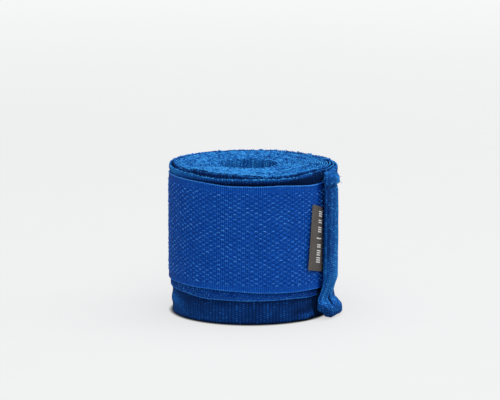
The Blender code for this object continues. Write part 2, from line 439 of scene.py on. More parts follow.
def cloth_inputs(n):
    """The cloth's coordinates, the first two of them on their own, and the piece's tone."""
    split = n.add("ShaderNodeSeparateXYZ")
    source = n.add("ShaderNodeAttribute", attribute_name="cloth").outputs["Vector"]
    n.link(source, split.inputs[0])
    tone = n.add("ShaderNodeAttribute", attribute_name="tone").outputs["Fac"]
    return source, split.outputs[0], split.outputs[1], tone


def cells(n, u, z, wide, tall):
    """Cells in columns that step by half: the column's rise, a dome in each, and its own chance."""
    across = n.math("DIVIDE", u, wide)
    column = n.math("FLOOR", across)
    up = n.total(n.math("DIVIDE", z, tall), (column, 0.5))
    row = n.math("FLOOR", up)
    side = n.math("SINE", n.math("MULTIPLY", n.math("SUBTRACT", across, column), math.pi))
    rise = n.math("SINE", n.math("MULTIPLY", n.math("SUBTRACT", up, row), math.pi))
    seat = n.add("ShaderNodeCombineXYZ")
    n.link(column, seat.inputs[0])
    n.link(row, seat.inputs[1])
    chance = n.add("ShaderNodeTexWhiteNoise")
    n.link(seat.outputs[0], chance.inputs["Vector"])
    return side, n.math("MULTIPLY", side, rise), chance.outputs["Value"]


def lit_cells(n, dome, chance, gain, least):
    """A few cells are painted far lighter than the rest: painted glints."""
    return n.math("MULTIPLY", dome, n.total(least, (n.math("POWER", chance, 4.0), gain)))


def soft_gloss(n, specular, sheen):
    """The cloth's small, even gloss and its blue-white nap."""
    n.shader.inputs["Specular IOR Level"].default_value = specular
    n.shader.inputs["Sheen Weight"].default_value = sheen
    n.shader.inputs["Sheen Roughness"].default_value = 0.5
    n.shader.inputs["Sheen Tint"].default_value = (0.06, 0.40, 1.0, 1.0)


def ribbed_cotton(name, contrast=1.0):
    """Ribbed stretch cotton: upright ribs of knitted stitches, each stitch its own shade, a few of them
    painted glints. The gaps between the ribs are painted darker, as painted shade.
    """
    n = Nodes(name)
    source, u, z, tone = cloth_inputs(n)
    rib, stitch, chance = cells(n, u, z, RIB, STITCH)
    fibre = n.noise(source, (7.0, 2.4), 4.0, 0.6)
    blotch = n.noise(source, (0.30, 0.16), 3.0, 0.5)
    fine = n.noise(source, 2.2, 3.0, 0.6)
    lit = lit_cells(n, stitch, chance, 0.32, 0.13)
    # painted glints on a few stitches, and painted shade in the gaps between the ribs
    shade = n.total(-0.54, (lit, 1.0), (rib, 0.17), (fibre, 0.18), (blotch, 0.20), (fine, 0.28))
    n.shade_to_base_colour(n.total(tone, (shade, contrast)), COTTON)
    height = n.total(0.0, (rib, 0.5), (stitch, 0.5), (fibre, 0.3))
    n.finish(height, 0.00028, 1.0, n.total(0.78, (fibre, 0.14)))
    soft_gloss(n, 0.06, 0.07)
    return n.material


def cotton_yarn(name):
    """The yarn loops of the selvages: softly twisted, fluffy and uneven."""
    n = Nodes(name)
    source, u, z, tone = cloth_inputs(n)
    twist = wave(n, n.total(z, (u, 0.7)), 0.26)
    fibre = n.noise(source, 6.0, 4.0, 0.65)
    n.shade_to_base_colour(n.total(-0.26, (tone, 1.0), (twist, 0.12), (fibre, 0.40)), COTTON)
    n.finish(n.total(fibre, (twist, 0.6)), 0.00012, 0.9, n.total(0.80, (fibre, 0.12)))
    soft_gloss(n, 0.06, 0.10)
    return n.material


def woven_nylon(name):
    """Hook tape: upright warp lines crossed by fine weft, with a little shine. A few crossings carry painted
    glints, and the gaps between warp lines are painted darker, as painted shade.
    """
    n = Nodes(name)
    source, u, z, tone = cloth_inputs(n)
    warp, crossing, chance = cells(n, u, z, WARP, WEFT)
    fibre = n.noise(source, (7.0, 2.2), 4.0, 0.6)
    blotch = n.noise(source, (0.20, 0.26), 3.0, 0.5)
    lit = lit_cells(n, crossing, chance, 0.30, 0.04)
    # painted glints on a few crossings, and painted shade between the warp lines
    n.shade_to_base_colour(n.total(-0.37, (tone, 1.0), (lit, 1.0), (warp, 0.26), (fibre, 0.16), (blotch, 0.14)), NYLON)
    height = n.total(0.0, (warp, 0.6), (crossing, 0.25), (fibre, 0.3))
    n.finish(height, 0.00018, 0.9, n.total(0.36, (fibre, 0.2)))
    soft_gloss(n, 0.05, 0.02)
    return n.material


def brushed_pile(name):
    """Loop tape: soft, matt and uneven."""
    n = Nodes(name)
    source, _, _, tone = cloth_inputs(n)
    curls = n.add("ShaderNodeTexVoronoi")
    n.link(source, curls.inputs["Vector"])
    curls.inputs["Scale"].default_value = 1.9
    curl = n.math("SUBTRACT", 1.0, curls.outputs["Distance"])
    fibre = n.noise(source, 5.0, 5.0, 0.65)
    blotch = n.noise(source, (0.25, 0.25), 3.0, 0.5)
    n.shade_to_base_colour(n.total(-0.43, (tone, 1.0), (curl, 0.26), (fibre, 0.30), (blotch, 0.20)), PILE)
    n.finish(n.total(0.0, (curl, 0.7), (fibre, 0.6)), 0.0003, 0.9, n.total(0.82, (fibre, 0.1)))
    soft_gloss(n, 0.05, 0.08)
    return n.material


def satin(name, dark, light, pitch):
    """Label satin: close, flat weft lines with a little shine."""
    n = Nodes(name)
    source, u, z, tone = cloth_inputs(n)
    lines, cross = wave(n, z, pitch), wave(n, u, pitch * 1.3)
    fibre = n.noise(source, (2.0, 9.0), 4.0, 0.6)
    n.shade_to_base_colour(n.total(-0.30, (tone, 1.0), (lines, 0.14), (fibre, 0.5)), ((0.1, dark), (0.9, light)))
    height = n.total(fibre, (lines, 0.6), (cross, 0.25))
    n.finish(height, 0.00006, 0.8, n.total(0.35, (fibre, 0.2)))
    n.shader.inputs["Sheen Weight"].default_value = 0.03
    n.shader.inputs["Specular IOR Level"].default_value = 0.25
    return n.material


def twisted_thread(name, dark, light):
    """Sewing thread: tight slanting twist lines."""
    n = Nodes(name)
    source, u, z, tone = cloth_inputs(n)
    twist = n.math("SINE", n.math("MULTIPLY", n.math("ADD", u, z), 2 * math.pi / 0.32))
    fibre = n.noise(source, 6.0, 3.0, 0.6)
    n.shade_to_base_colour(n.total(-0.15, (tone, 1.0), (twist, 0.12), (fibre, 0.3)), ((0.1, dark), (0.9, light)))
    n.finish(n.math("ADD", twist, fibre), 0.00005, 0.7, n.total(0.45, (fibre, 0.15)))
    soft_gloss(n, 0.15, 0.05)
    return n.material


cotton = ribbed_cotton("ribbed_cotton")
hem_cotton = ribbed_cotton("gathered_cotton", 1.5)
yarn = cotton_yarn("selvage_yarn")
nylon = woven_nylon("hook_tape_weave")
pile = brushed_pile("loop_tape_pile")
label_satin = satin("label_satin", (0.040, 0.034, 0.029), (0.165, 0.145, 0.128), 0.28)
label_white = satin("label_marks", (0.55, 0.54, 0.52), (0.95, 0.94, 0.90), 0.22)
thread = twisted_thread("sewing_thread", (0.003, 0.045, 0.280), (0.030, 0.190, 0.640))


# ---------------------------------------------------------------- the wound band


def spiral(phi):
    """Angle and outer radius of the band, phi degrees in from its outer end."""
    turn = np.floor(phi / 360.0)
    f = phi - 360.0 * turn
    drawn = eased(f / SLACK_END)
    slack = np.where(f < 38.0, eased(f / 38.0), 1.0 - eased((f - 38.0) / 150.0))
    radius = TIGHT + PITCH - PITCH * (turn + drawn) + BULGE * slack * 0.8**turn
    return HEM_LEFT + phi, radius


def core_shift(radius):
    """The turns close in on a core that isn't quite on the axis."""
    share = 1.0 - eased((radius - 9.5) / 16.5)
    return CORE[0] * share, CORE[1] * share


def even_steps(start, end, step):
    """Values of phi about step millimetres apart along the spiral, and the arc length at each."""
    dense = np.linspace(start, end, 60000)
    _, radius = spiral(dense)
    arc = np.concatenate([[0.0], np.cumsum(np.radians(np.diff(dense)) * (radius[1:] - THICK / 2))])
    count = int(arc[-1] / step) + 1
    wanted = np.linspace(0.0, arc[-1], count)
    return np.interp(wanted, arc, dense), wanted


def top_flare(phi):
    """How far the loose top edge of the outer turn leans out, round the roll."""
    return 0.30 + 0.90 * window(phi, 185.0, 40.0, 326.0, 34.0) + 0.20 * window(phi, 35.0, 60.0, 185.0, 40.0)


def rim_tilt(f):
    """The loose rim rides up at the left and sinks at the front. f is phi within its turn."""
    return 0.45 * hill(f, 228.0, 30.0) - 0.60 * window(f, 252.0, 38.0, 338.0, 20.0)


def front_swell(f):
    """The wound turns stand proud of the outer turn's edge at the front left."""
    return 1.15 * window(f, 240.0, 28.0, 292.0, 40.0)


def sunken(phi):
    """The first two turns behind the outer one have slipped down a little at the front left."""
    there = window(phi % 360.0, 228.0, 20.0, 312.0, 20.0)
    return there * np.where(phi < 720.0, 1.0, 0.5) * (phi < 1080.0)


def top_line(phi, arc):
    """Height of the outer turn's top edge: it rides up a little at the back as well."""
    crest = 0.70 * window(phi, 128.0, 22.0, 200.0, 25.0)
    dip = rim_tilt(phi) - 0.25 * hill(phi, 116.0, 9.0)
    return BAND_TOP + crest + dip + 0.13 * wander(arc, 9.0, 21) + 0.06 * wander(arc, 2.6, 22)


def inner_flare(turn):
    """The tops of the wound turns lean out too, less and less further in."""
    return 0.30 * np.exp(-(turn - 1.0) * 0.9)


def foot_lift(phi):
    """The lower edge curls up and out where it runs under the hem."""
    return 0.40 * hill(phi, 349.0, 7.0) + 1.0 * eased((phi - 350.0) / 9.0)


def wound_shape(phi, arc):
    """Top and foot of each wound turn, and the lean of its top edge."""
    turn = phi / 360.0
    settled = eased((phi - 360.0) / 70.0)
    top = ROLL_TOP - 0.15 + 0.15 * wander(arc, 9.0, 3) + 0.12 * wander(arc, 3.1, 4)
    top += 0.35 * hill(turn, 1.6, 0.7) + rim_tilt(phi % 360.0) * (1 - eased((turn - 6.0) / 10.0))
    top += front_swell(phi % 360.0) * (1 - eased((turn - 5.0) / 9.0)) - sunken(phi)
    top = top * settled + (BAND_TOP - 0.05) * (1 - settled)
    foot = 0.10 + 0.08 * wander(arc, 8.0, 5) + foot_lift(np.minimum(phi, 360.0)) * (1 - settled)
    return turn, top, foot, inner_flare(turn)


def wound_turns():
    """Every turn but the last, as one thick ribbon with rounded selvages."""
    phi, arc = even_steps(LAST_END, INNERMOST, 0.50)
    degrees, radius = spiral(phi)
    turn, top, foot, flare = wound_shape(phi, arc)
    inner_wall = eased((turn - TURNS + 1.4) / 0.8)
    radius = radius + 0.035 * wander(arc, 5.0, 6) + inner_wall * 0.10 * wander(arc, 1.3, 7)
    shift = core_shift(radius)
    levels = (foot, foot + 0.45, foot + 24.0, foot + 46.5, top - 0.9, top - 0.25, top)
    outer, inner = [], []
    for height, share in zip(levels, (0.35, 1.0, 1.0, 1.0, 1.0, 0.85, 0.35)):
        middle = radius - THICK / 2 + flare * eased((height - 46.5) / 4.5)
        outer.append(place(degrees, middle + THICK / 2 * share, height, shift))
        inner.append(place(degrees, middle - THICK / 2 * share, height, shift))
    rings, faces = ribbon(np.stack(outer, axis=1), np.stack(inner, axis=1))

    z, run, wall = rings[..., 2], arc[:, None], inner_wall[:, None]
    rubbed = 0.9 * patches(run, z, 0.8, 0.7, 10)
    cloth = on_cloth(run + wall * rubbed, z, turn[:, None])
    # painted light on the hollow's wall, lighter towards its top, with random mottling
    lit = 0.35 + 0.14 * eased((z - 44.0) / 5.0) + 0.16 * patches(run, z, 1.1, 0.6, 9)
    buried = (1 - eased((phi - 375.0) / 25.0))[:, None]
    tone = 0.20 + 0.10 * patches(run, z, 3.0, 1.0, 8) + wall * lit
    # painted shade on the turn just behind the outer turn, and in the recess where the turns behind it have
    # slipped down
    tone -= 0.36 * buried * (1 - 0.75 * eased((z - 48.4) / 1.2))
    tone -= 0.16 * sunken(phi - 360.0)[:, None]
    return mesh_piece("wound_band_turns", rings, faces, cotton, cloth, tone)


def knots(name, degrees, radius, height, tone, seed, shift=(0.0, 0.0), size=1.0):
    """The yarn loops that end each rib along a selvage, slanting one after the other."""
    rng = np.random.default_rng(seed)
    count = len(degrees)
    centres = place(degrees, radius + rng.normal(0, 0.05, count), height + rng.normal(0, 0.09, count), shift)
    along, outwards, up = on_roll(degrees)
    slant = rng.normal(0.34, 0.20, count)[:, None]
    long = (0.50 * size * rng.uniform(0.8, 1.2, count))[:, None]
    wide = (0.25 * size * rng.uniform(0.85, 1.15, count))[:, None]
    tall = (0.34 * size * rng.uniform(0.75, 1.3, count))[:, None]
    lean = along * np.cos(slant) + outwards * np.sin(slant)
    cross = outwards * np.cos(slant) - along * np.sin(slant)
    tilt = rng.normal(0.0, 0.22, count)[:, None]
    points, groups, per = lumps(
        centres, long * (lean * np.cos(tilt) + up * np.sin(tilt)), wide * cross,
        tall * (up * np.cos(tilt) - lean * np.sin(tilt)),
    )
    tones = np.repeat(tone + rng.normal(0, 0.13, count), per)
    # painted highlight: each lump is painted lighter towards its top, as painted light from above
    tones = tones + 0.12 * (points[:, 2] - np.repeat(centres[:, 2], per)) / 0.35
    return mesh_piece(name, points, groups, yarn, points, tones)


def wound_knots():
    """Yarn loops along the top of the wound turns. Neighbouring turns rise and sink together. Their tone is
    painted lighter than the band's sides and lighter where they stand higher, as painted light from above,
    with painted shade on the outer turns and in the slipped-down recess.
    """
    phi, arc = even_steps(LAST_END + 1.0, INNERMOST - 2.0, RIB * 0.64)
    degrees, radius = spiral(phi)
    _, top, _, flare = wound_shape(phi, arc)
    shift = core_shift(radius)
    spot = place(degrees, radius, 0.0, shift)
    along = np.radians(degrees % 360.0) * 19.0
    swell = 0.5 * patches(along, radius, 0.8, 1.5, 12) + 0.4 * patches(spot[:, 0], spot[:, 1], 2.6, 3.4, 11)
    height = top + 0.02 + 0.13 * swell + 0.05 * wander(radius, 0.6, 16)
    # painted light from above: the knots are lighter than the band's sides, and lighter where they stand
    # higher
    tone = 0.71 + 0.20 * swell + 0.26 * patches(along, radius, 0.6, 1.6, 13) + 0.12 * wander(radius, 0.6, 17)
    # painted highlight at the front left of the top
    tone = tone + 0.15 * eased((-spot[:, 1] - 4.0) / 8.0) * eased((12.0 - spot[:, 0]) / 14.0)
    # painted shade on the outer few turns and in the slipped-down recess
    tone = tone - 0.14 * (1 - eased((phi - 700.0) / 500.0)) - 0.50 * sunken(phi)
    tone = tone - 0.08 * (1 - eased((phi - 372.0) / 30.0))
    return knots("band_selvage_knots", degrees, radius - THICK / 2 + flare, height, tone, 14, shift, 0.92)


def last_turn_lean(phi, z):
    """Outward lean of the last turn: flared above the tapes, pinched by them and tucked in at the hem."""
    drawn = eased(phi / SLACK_END)
    flare = top_flare(phi) * eased((z - 46.6) / 3.6)
    pinch = -0.22 * hill(z, 46.3, 1.8) * drawn
    foot = 0.24 * hill(z, 4.0, 3.0) - 0.06 * eased((0.8 - z) / 0.8)
    curl = 1.25 * eased((phi - 341.0) / 14.0) * eased((5.0 - z) / 5.0)
    tucked = -0.9 * hill(z, 8.0, 4.0) * (1 - eased((phi - 62.0) / 25.0))
    held = -1.3 * (1 - eased((phi - 30.0) / 5.0)) * eased((z - 9.0) / 4.0)
    rippled = 0.20 * hill(phi, 232.0, 20.0) * np.cos(2 * np.pi * z / 4.6) * eased((16.0 - z) / 4.0)
    return flare + pinch + foot * drawn + curl + tucked + held + rippled


def last_turn_tone(phi, arc, z):
    """Tone of the last turn, mostly painted light and shade: painted highlights on its rim, painted shadow on
    the ledge under the rim, and painted highlights and shade on the lower band.
    """
    upper = eased((z - 48.2) / 2.0)
    low = eased((14.0 - z) / 4.0)
    shaded, deep = eased((phi - 244.0) / 16.0), eased((phi - 318.0) / 30.0)
    tone = 0.27 + 0.03 * np.cos(2 * np.pi * arc / RIB) + 0.06 * patches(arc, z, 5.0, 5.0, 24)
    # painted highlight on the upper face under the rim, strongest beside the hem at the right, and on the
    # face at the left
    tone += upper * (0.24 + 0.24 * hill(phi, 44.0, 16.0))
    tone += 0.30 * hill(phi, 236.0, 12.0) * eased((z - 44.5) / 1.5)
    # painted shadow on the ledge under the rim, deepest towards the hem, and in the pocket beside the hem
    tone -= 0.34 * shaded * window(z, 44.0, 1.5, 47.0, 1.6)
    tone -= (0.34 * shaded - 0.22 * deep) * hill(z, 48.3, 1.0)
    tone -= 0.36 * deep * hill(z, 47.5, 1.6)
    tone -= 0.20 * eased((phi - 334.0) / 14.0) * window(z, 45.5, 1.5, 49.2, 0.8)

    # painted contact shadow along the foot
    tone -= 0.16 * eased((0.9 - z) / 0.6)
    # painted highlight on the fold low at the left
    tone += 0.24 * hill(phi, 226.0, 24.0) * hill(z, 5.5, 3.0)
    # a little lighter low on the left and darker low on the right
    tone += 0.05 * low * (1 - eased((phi - 255.0) / 25.0))
    tone -= 0.05 * low * eased((phi - 315.0) / 20.0)
    # painted shadow under the loop tape's edge, and painted shade along the crease below it
    tone -= 0.12 * hill(z, LOOP_BASE - 1.9, 0.9) * shaded
    crease = LOOP_BASE - 3.0 - 0.08 * (phi - 250.0)
    tone -= 0.18 * hill(phi, 250.0, 14.0) * hill(z, crease, 1.9)
    # painted highlight below the crease, low at the left
    tone += 0.09 * hill(phi, 246.0, 12.0) * hill(z, 4.2, 2.4)
    # the rolled lip beside the hem: a painted highlight on it, painted shade above it and a painted shadow
    # under it
    lip, rolled = eased((phi - 336.0) / 14.0), z - foot_lift(phi)
    tone += lip * (0.10 * hill(rolled, 1.3, 0.8) - 0.16 * hill(rolled, 3.3, 1.0))
    tone -= lip * 0.35 * eased((0.5 - rolled) / 0.5)
    return tone


def last_turn():
    """The outer turn, with its ribs in relief, and the yarn loops along its rim."""
    phi, arc = even_steps(LAST_START, LAST_END, RIB / 9)
    degrees, radius = spiral(phi)
    foot, rim = BAND_BASE + np.array((-0.05, 0.08)), BAND_TOP - np.array((0.32, 0.10, 0.0))
    body = (np.linspace(0.42, 7.5, 11), np.linspace(10.0, 44.5, 7), np.linspace(46.0, 50.0, 10))
    z = np.concatenate([foot, *body, rim])
    share = np.ones(len(z))
    share[:2] = (0.35, 0.8)
    share[-3:] = (0.92, 0.65, 0.25)
    f, run = phi[:, None], arc[:, None]
    rib = np.cos(2 * np.pi * run / RIB)
    rise = (top_line(phi, arc) - BAND_TOP)[:, None] + 0.05 * rib
    height = z + rise * eased((z - 46.0) / 4.0) + foot_lift(f) * eased((6.0 - z) / 6.0)
    lean = last_turn_lean(f, height) + 0.10 * patches(run, z, 7.0, 6.0, 23)
    middle = radius[:, None] - THICK / 2 + lean
    half = THICK / 2 * share
    ribbed = 0.075 * rib * (0.4 + 0.6 * share)
    outer = place(degrees[:, None], middle + half + ribbed, height)
    inner = place(degrees[:, None], middle - half + 0.4 * ribbed, height)
    rings, faces = ribbon(outer, inner)
    zz = rings[..., 2]
    tone = last_turn_tone(f, run, zz)
    cloth_turn = mesh_piece("band_outer_turn", rings, faces, cotton, on_cloth(run, zz), tone, sharp=55)

    phi, arc = even_steps(RIM_START, LAST_END - 1.0, RIB * 0.72)
    degrees, radius = spiral(phi)
    top = top_line(phi, arc)
    radius = radius - THICK / 2 + last_turn_lean(phi, top)
    # the rim's yarn loops are painted light, as painted light from above
    edge = knots("band_outer_knots", degrees, radius, top - 0.12, 0.72, 25)
    return cloth_turn, edge


def fuzz():
    """Loose fibres that stand off the selvages."""
    rng = np.random.default_rng(31)
    on_rim, on_top = 420, 480
    phi = np.concatenate([rng.uniform(60.0, 355.0, on_rim), rng.uniform(380.0, 3500.0, on_top)])
    count = len(phi)
    degrees, radius = spiral(phi)
    flare = np.where(phi < 360.0, top_flare(phi), inner_flare(phi / 360.0))
    base = np.where(phi < 360.0, BAND_TOP - 0.3, ROLL_TOP + 0.05)
    start = place(degrees, radius - 0.2 + flare, base, core_shift(radius))
    _, outwards, up = on_roll(degrees)
    heading = rng.normal(0, 1, (count, 3)) * (0.7, 0.7, 0.25) + outwards * 0.5 + up * 0.75
    heading /= np.linalg.norm(heading, axis=1, keepdims=True)
    bend = rng.normal(0, 0.5, (count, 3))
    length = rng.uniform(0.35, 1.0, count)[:, None, None]
    share = np.linspace(0, 1, 5)[None, :, None]
    paths = start[:, None] + length * (heading[:, None] * share + bend[:, None] * share**2 * 0.5)
    taper = 0.028 * (1 - 0.6 * share[..., 0])
    points, groups = tubes(paths, taper, 3)
    return mesh_piece("band_selvage_fuzz", points, groups, yarn, points, 0.70)


# ---------------------------------------------------------------- the folded end hem


HEM_SECTIONS = np.array(
    (
        # height, left and right angle, inner and outer radius, furthest x
        (0.2, -36.2, -9.5, 28.6, 32.1, 31.4),
        (1.0, -37.8, -9.0, 28.5, 32.7, 31.9),
        (2.8, -38.4, -8.5, 28.5, 32.8, 31.8),
        (4.8, -37.6, -7.0, 28.6, 31.2, 30.2),
        (6.7, -35.6, -6.5, 28.6, 29.5, 28.5),
        (9.6, -32.8, -5.5, 28.7, 30.0, 29.1),
        (14.0, -30.9, -3.5, 28.75, 31.1, 30.25),
        (29.0, -30.2, -3.5, 28.75, 31.1, 30.3),
        (43.4, -29.5, -3.5, 28.75, 31.0, 30.15),
        (45.1, -29.2, -4.5, 28.75, 30.4, 29.8),
        (46.3, -30.4, -3.5, 28.7, 31.5, 30.7),
        (48.7, -30.6, -3.5, 28.7, 31.5, 30.7),
        (50.0, -29.8, -4.5, 28.9, 30.7, 30.1),
    )
)
HEM_RING = 224  # points round each level
HEM_BEAD = -1.25  # along the outline from its outer left corner
HEM_CREASE = 46.15  # height of the crease under the rim


def smooth_column(at, xs, ys):
    """Monotone cubic through the section values."""
    slope = np.diff(ys) / np.diff(xs)
    tangent = np.zeros(len(xs))
    tangent[0], tangent[-1] = slope[0], slope[-1]
    same = slope[1:] * slope[:-1] > 0
    mean = 2 * slope[1:] * slope[:-1] / np.where(same, slope[1:] + slope[:-1], 1.0)
    tangent[1:-1] = np.where(same, mean, 0.0)
    i = np.clip(np.searchsorted(xs, at) - 1, 0, len(xs) - 2)
    h = xs[i + 1] - xs[i]
    t = (at - xs[i]) / h
    return (
        ys[i] * (1 + 2 * t) * (1 - t) ** 2
        + ys[i + 1] * t * t * (3 - 2 * t)
        + h * tangent[i] * t * (1 - t) ** 2
        - h * tangent[i + 1] * t * t * (1 - t)
    )


def hem_outline(left, right, inner, outer, furthest):
    """One level of the hem as HEM_RING even points, from its inner left corner out and round."""
    turn = np.pi * 1.25 - 2 * np.pi * np.linspace(0, 1, 6001)
    power = 0.40
    c, s = np.cos(turn), np.sin(turn)
    degrees = (left + right) / 2 + (right - left) / 2 * np.sign(c) * np.abs(c) ** power
    radius = (inner + outer) / 2 + (outer - inner) / 2 * np.sign(s) * np.abs(s) ** power
    angle = np.radians(degrees)
    x, y = radius * np.cos(angle), radius * np.sin(angle)
    over = x - furthest
    x = np.where(over > -0.5, furthest - 0.5 + 0.5 * np.tanh((over + 0.5) / 0.5), x)
    arc = np.concatenate([[0.0], np.cumsum(np.hypot(np.diff(x), np.diff(y)))])
    wanted = np.linspace(0, arc[-1], HEM_RING, endpoint=False)
    corner = np.interp(np.pi * 0.5, np.pi * 1.25 - turn, arc)
    return np.interp(wanted, arc, x), np.interp(wanted, arc, y), wanted - corner


def hem_surface():
    """The plain hem: x and y off the axis, the way round from its outer left corner, and the height."""
    z = np.concatenate([np.linspace(0.2, 12.0, 56), np.linspace(12.4, 42.6, 62), np.linspace(42.9, 50.0, 42)])
    columns = [smooth_column(z, HEM_SECTIONS[:, 0], HEM_SECTIONS[:, k]) for k in range(1, 6)]
    levels = [hem_outline(*level) for level in zip(*columns)]
    x, y, e = (np.array(rows) for rows in zip(*levels))
    return x, y, e, np.broadcast_to(z[:, None], x.shape)


def drawn_in(ring, middle, share, rise):
    """A ring of points drawn in towards a middle radius, and raised."""
    radius = np.hypot(ring[:, 0] - AXIS_X, ring[:, 1] - AXIS_Y)
    scale = (middle + (radius - middle) * share) / radius
    x = AXIS_X + (ring[:, 0] - AXIS_X) * scale
    y = AXIS_Y + (ring[:, 1] - AXIS_Y) * scale
    return np.stack([x, y, ring[:, 2] + rise], axis=-1)


def hem_relief(e, z):
    """How far the gathered hem stands proud of its plain shape, and its tone, much of it painted light and
    shade.

    e runs round it from its outer left corner. It has ribs, a bead and a groove at its left,
    puckers where it is gathered in above its foot and under its rim, and a foot that fans out.
    """
    rib = np.cos(2 * np.pi * e / RIB)
    front = window(e, -2.6, 0.8, 14.0, 1.0)
    foot = eased((5.4 - z) / 1.5)
    above_foot = eased((z - 9.0) / 5.0)
    fanned = np.cos(2 * np.pi * (z - 1.1 * np.abs(e - 5.0)) / 1.05) * foot * front
    groove = -0.38 + 2.2 * (1 - eased((z - 0.4) / 3.2))
    gather = hill(z, 7.7, 3.6) + hill(z, 45.1, 2.0)

    proud = 0.10 * rib * (1 - 0.8 * foot) + 0.11 * fanned
    proud += front * (gather * 0.16 * wander(e, 1.1, 31) + 0.10 * patches(e, z, 2.4, 9.0, 32))
    proud += 0.26 * hill(e, HEM_BEAD, 0.50) * eased((z - 1.0) / 2.0)
    proud -= 0.42 * hill(e, groove, 0.26) * eased((z - 1.0) / 1.5)
    proud += above_foot * (0.24 * hill(e, 6.9, 0.75) - 0.16 * hill(e, 5.2, 0.9))
    proud -= 0.95 * hill(e, 2.5, 0.55) * hill(z, 45.2, 0.75)
    proud -= 0.45 * hill(e, 6.2, 0.8) * hill(z, 44.9, 0.6)
    proud += 0.16 * hill(z, HEM_CREASE, 0.28) * window(e, 2.8, 1.0, 12.0, 2.0)
    proud -= 1.5 * hill(e, 5.5, 0.60) * hill(z, 5.6, 1.2)

    # lighter towards the rim, a painted highlight, and lighter over its lower part
    shade = 0.42 + 0.05 * rib + 0.12 * eased((z - 45.5) / 1.5) + 0.20 * hill(z, 12.0, 8.0)
    # painted highlight down the hem's right side and on its bead
    shade += 0.26 * hill(e, 7.2, 1.8) * eased((z - 6.0) / 6.0) + 0.08 * hill(e, HEM_BEAD, 0.5)
    shade += 0.09 * patches(e, z, 0.9, 12.0, 34) + 0.06 * patches(e, z, 0.5, 2.0, 35)
    # painted highlight on the crease under the rim, painted shade in the groove and the dimple, painted
    # highlight and shade on the fanned foot, and a lighter patch low at the left
    shade += 0.30 * hill(z, HEM_CREASE, 0.25) * eased((e - 2.8) / 1.0)
    shade -= 0.25 * hill(e, groove, 0.3) + 0.60 * hill(e, 5.5, 0.65) * hill(z, 5.6, 1.2)
    shade += 0.22 * fanned - 0.08 * foot * front + 0.10 * hill(e, 0.6, 0.9) * hill(z, 6.0, 4.0)
    return proud, shade


def hem_height(e, z):
    """The rim droops to the right and the foot lifts clear of the floor, most at its left."""
    height = z - 1.9 * window(e, 2.5, 6.0, 14.5, 1.0) * eased((z - 46.2) / 3.8)
    height = height + 0.14 * np.cos(2 * np.pi * e / RIB) * eased((z - 48.6) / 1.2)
    inside = eased((e - e.max(1, keepdims=True) + 6.0) / 4.0)
    lifted = 0.25 + 2.2 * np.maximum(1 - eased((e + 0.5) / 3.2), inside) + 0.25 * hill(e, 7.3, 2.0)
    return height + lifted * eased((7.0 - z) / 7.0)


def end_hem():
    """The band's end, folded over and gathered, and closed above and below."""
    x, y, e, z = hem_surface()
    dx, dy = (np.roll(v, -1, 1) - np.roll(v, 1, 1) for v in (x, y))
    size = np.hypot(dx, dy) + 1e-9
    nx, ny = -dy / size, dx / size
    outward = nx * (x - x.mean(1, keepdims=True)) + ny * (y - y.mean(1, keepdims=True))
    outward = np.sign(outward.mean())
    proud, shade = hem_relief(e, z)
    x, y = x + nx * outward * proud, y + ny * outward * proud
    body = np.stack([x + AXIS_X, y + AXIS_Y, hem_height(e, z)], axis=-1)

    radius = np.hypot(x[-1], y[-1])
    middle = (radius.min() + radius.max()) / 2 - 0.1
    under = [drawn_in(body[0], middle, share, -0.02 - 0.10 * share) for share in np.linspace(0.02, 0.9, 5)]
    over = []
    for share in np.linspace(0.9, 0.02, 9):
        dip = 0.30 * (1 - abs(math.sin(2 * math.pi * share)))
        over.append(drawn_in(body[-1], middle, share, 0.07 - dip))
    rings = np.concatenate([under, body, over])
    below, above = (len(under), HEM_RING), (len(over), HEM_RING)
    # painted light from above: the closed top is lighter than the sides and the foot
    tone = np.concatenate([np.full(below, 0.42), shade, np.full(above, 0.62)])
    run = np.concatenate([np.broadcast_to(e[0], below), e, np.broadcast_to(e[0], above)])
    cloth = on_cloth(400.0 + run, rings[..., 2])
    around = np.arange(HEM_RING)[None]
    last = (len(rings) - 1) * HEM_RING
    faces = [strip_faces(len(rings), HEM_RING), around, around[:, ::-1] + last]
    fold = mesh_piece("end_hem_fold", rings, faces, hem_cotton, cloth, tone)
    return fold, hem_yarn(body[-1], e[-1])


